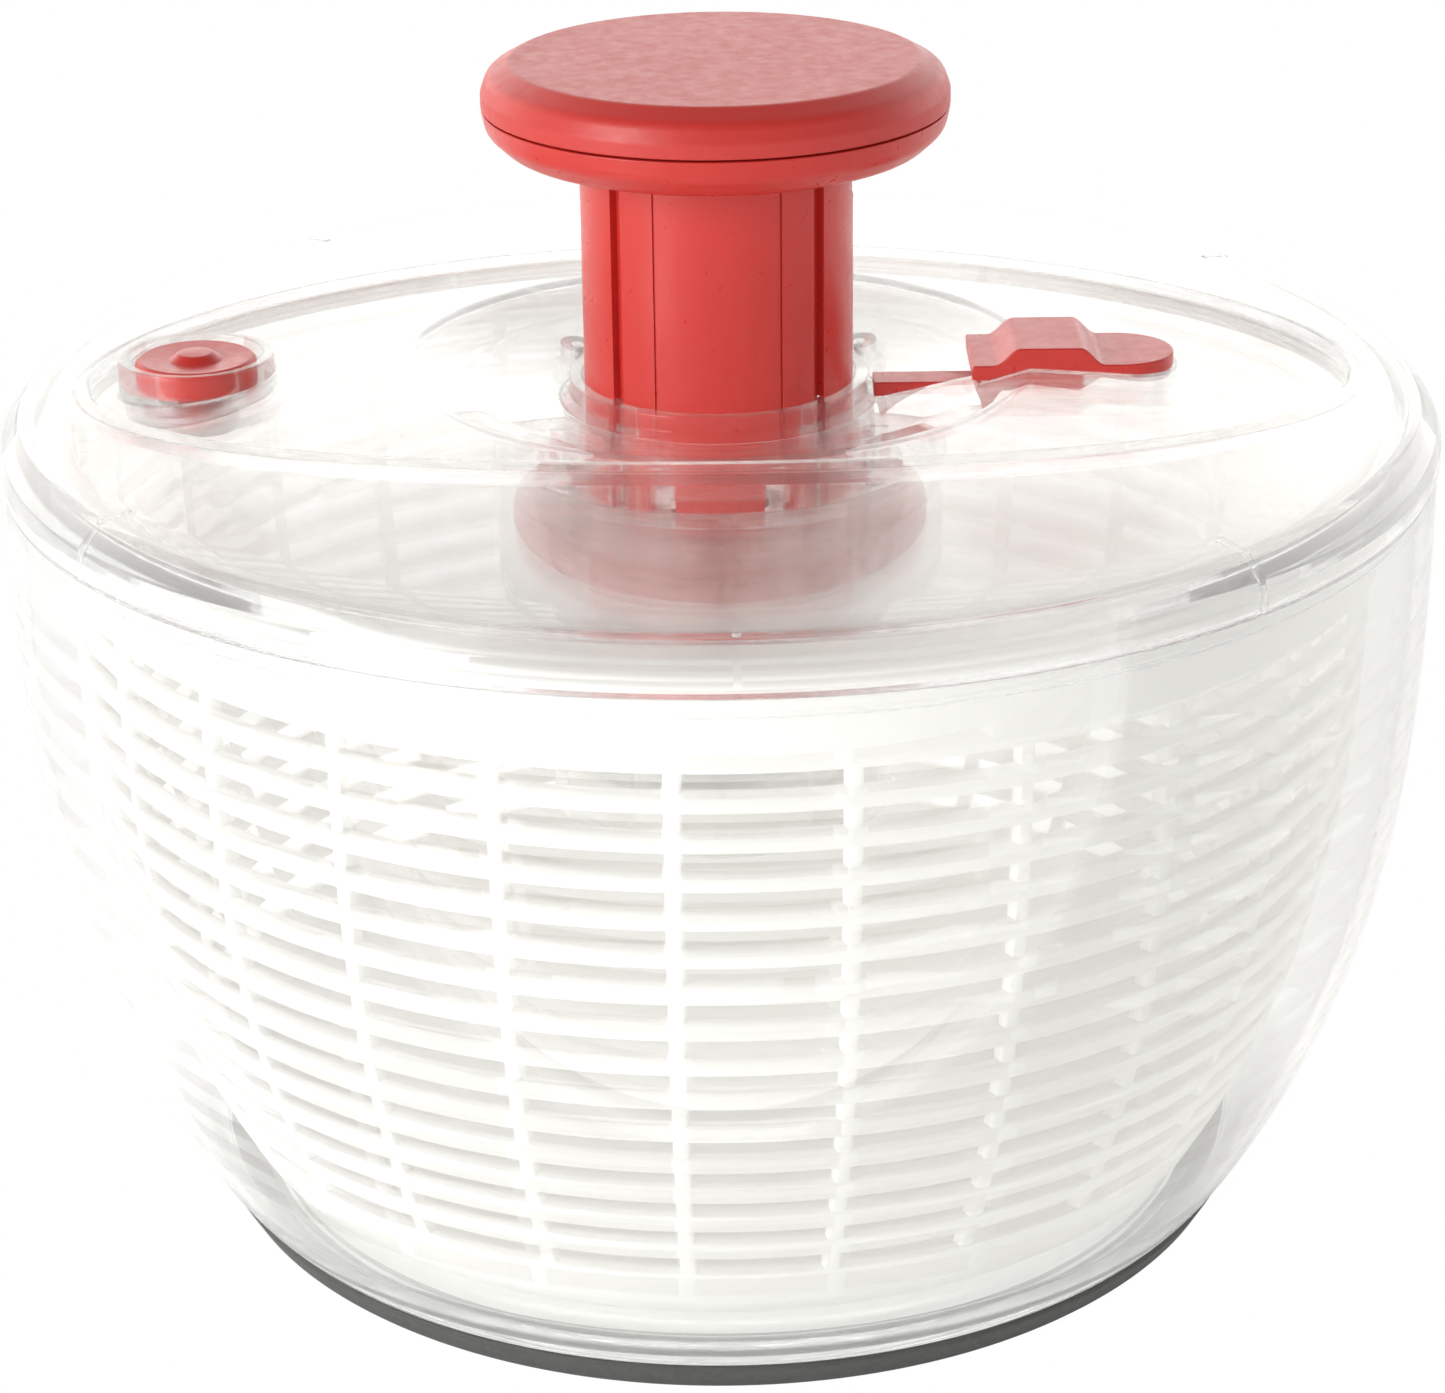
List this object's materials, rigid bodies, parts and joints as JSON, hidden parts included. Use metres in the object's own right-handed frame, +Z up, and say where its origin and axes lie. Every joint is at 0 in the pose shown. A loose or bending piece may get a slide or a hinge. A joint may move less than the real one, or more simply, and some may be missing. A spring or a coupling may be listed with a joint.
{
  "type": "salad spinner",
  "caption": "Pump-type salad spinner with a clear bowl, a slatted inner basket, a clear lid, a large pump knob, a brake button and a knob lock.",
  "frame": {"origin": "centre of the rubber ring's underside, on the spin axis", "axes": "+Z up along the spin axis, +X towards the knob lock, -Y towards the front"},
  "size_m": [0.264, 0.264, 0.2154],
  "materials": {
    "clear_bowl": "clear, polished plastic",
    "clear_lid": "clear, polished plastic",
    "clear_guide": "clear, slightly hazy moulded plastic",
    "white_plastic": "satin white polypropylene",
    "white_gear": "waxy white acetal",
    "red_plastic": "satin red ABS",
    "red_knob": "satin red ABS with a fine grained top",
    "grey_rubber": "matt dark grey elastomer",
    "steel": "machined stainless steel",
    "spring_steel": "dark drawn spring wire"
  },
  "bodies": {
    "bowl_body": {"bowl": "clear_bowl", "base_ring": "grey_rubber"},
    "basket_body": {"basket_wall": "white_plastic", "basket_floor": "white_plastic"},
    "lid_body": {"lid_cover": "clear_lid", "guide_sleeve": "clear_guide", "guide_collar": "clear_guide", "brake_guide": "clear_guide", "lock_guide": "clear_guide", "lid_screw_1": "steel", "lid_screw_2": "steel", "lid_screw_3": "steel", "lid_screw_4": "steel", "return_spring": "spring_steel", "brake_spring": "spring_steel"},
    "turntable_body": {"turntable": "clear_guide", "ratchet_ring": "white_gear"},
    "spindle_body": {"spindle": "steel", "pawl_wheel": "white_gear", "spindle_washer": "steel", "spindle_screw": "steel"},
    "plunger_body": {"plunger_tube": "red_plastic", "knob_cap": "red_knob", "drive_post": "white_gear", "drive_nut": "white_gear"},
    "brake_body": {"brake_button": "red_plastic", "brake_pad": "grey_rubber"},
    "lock_body": {"lock_slider": "red_plastic", "lock_latch": "red_plastic"}
  },
  "joints": [
    {"name": "basket_spin", "type": "hinge", "parent": "bowl_body", "child": "basket_body", "pos_m": [0, 0, 0.0138], "axis": [0, 0, 1], "continuous": true},
    {"name": "lid_lift", "type": "slide", "parent": "bowl_body", "child": "lid_body", "axis": [0, 0, 1], "range_m": [0, 0.12]},
    {"name": "turntable_spin", "type": "hinge", "parent": "lid_body", "child": "turntable_body", "pos_m": [0, 0, 0.0734], "axis": [0, 0, 1], "continuous": true},
    {"name": "plunger_slide", "type": "slide", "parent": "lid_body", "child": "plunger_body", "axis": [0, 0, -1], "range_m": [0, 0.038], "stiffness_N_per_m": 150, "springref_m": -0.02, "deforming": ["return_spring"]},
    {"name": "spindle_spin", "type": "hinge", "parent": "lid_body", "child": "spindle_body", "pos_m": [0, 0, 0.085], "axis": [0, 0, 1], "range_deg": [-1, 229]},
    {"name": "brake_press", "type": "slide", "parent": "lid_body", "child": "brake_body", "axis": [0, 0, -1], "range_m": [0, 0.0034], "stiffness_N_per_m": 400, "springref_m": -0.003, "deforming": ["brake_spring"]},
    {"name": "lock_slide", "type": "slide", "parent": "lid_body", "child": "lock_body", "axis": [-1, 0, 0], "range_m": [0, 0.008]}
  ],
  "couplings": [
    {"joint": "turntable_spin", "follows": "basket_spin", "ratio": 1},
    {"joint": "spindle_spin", "follows": "plunger_slide", "rad_per_m": 104.72}
  ]
}
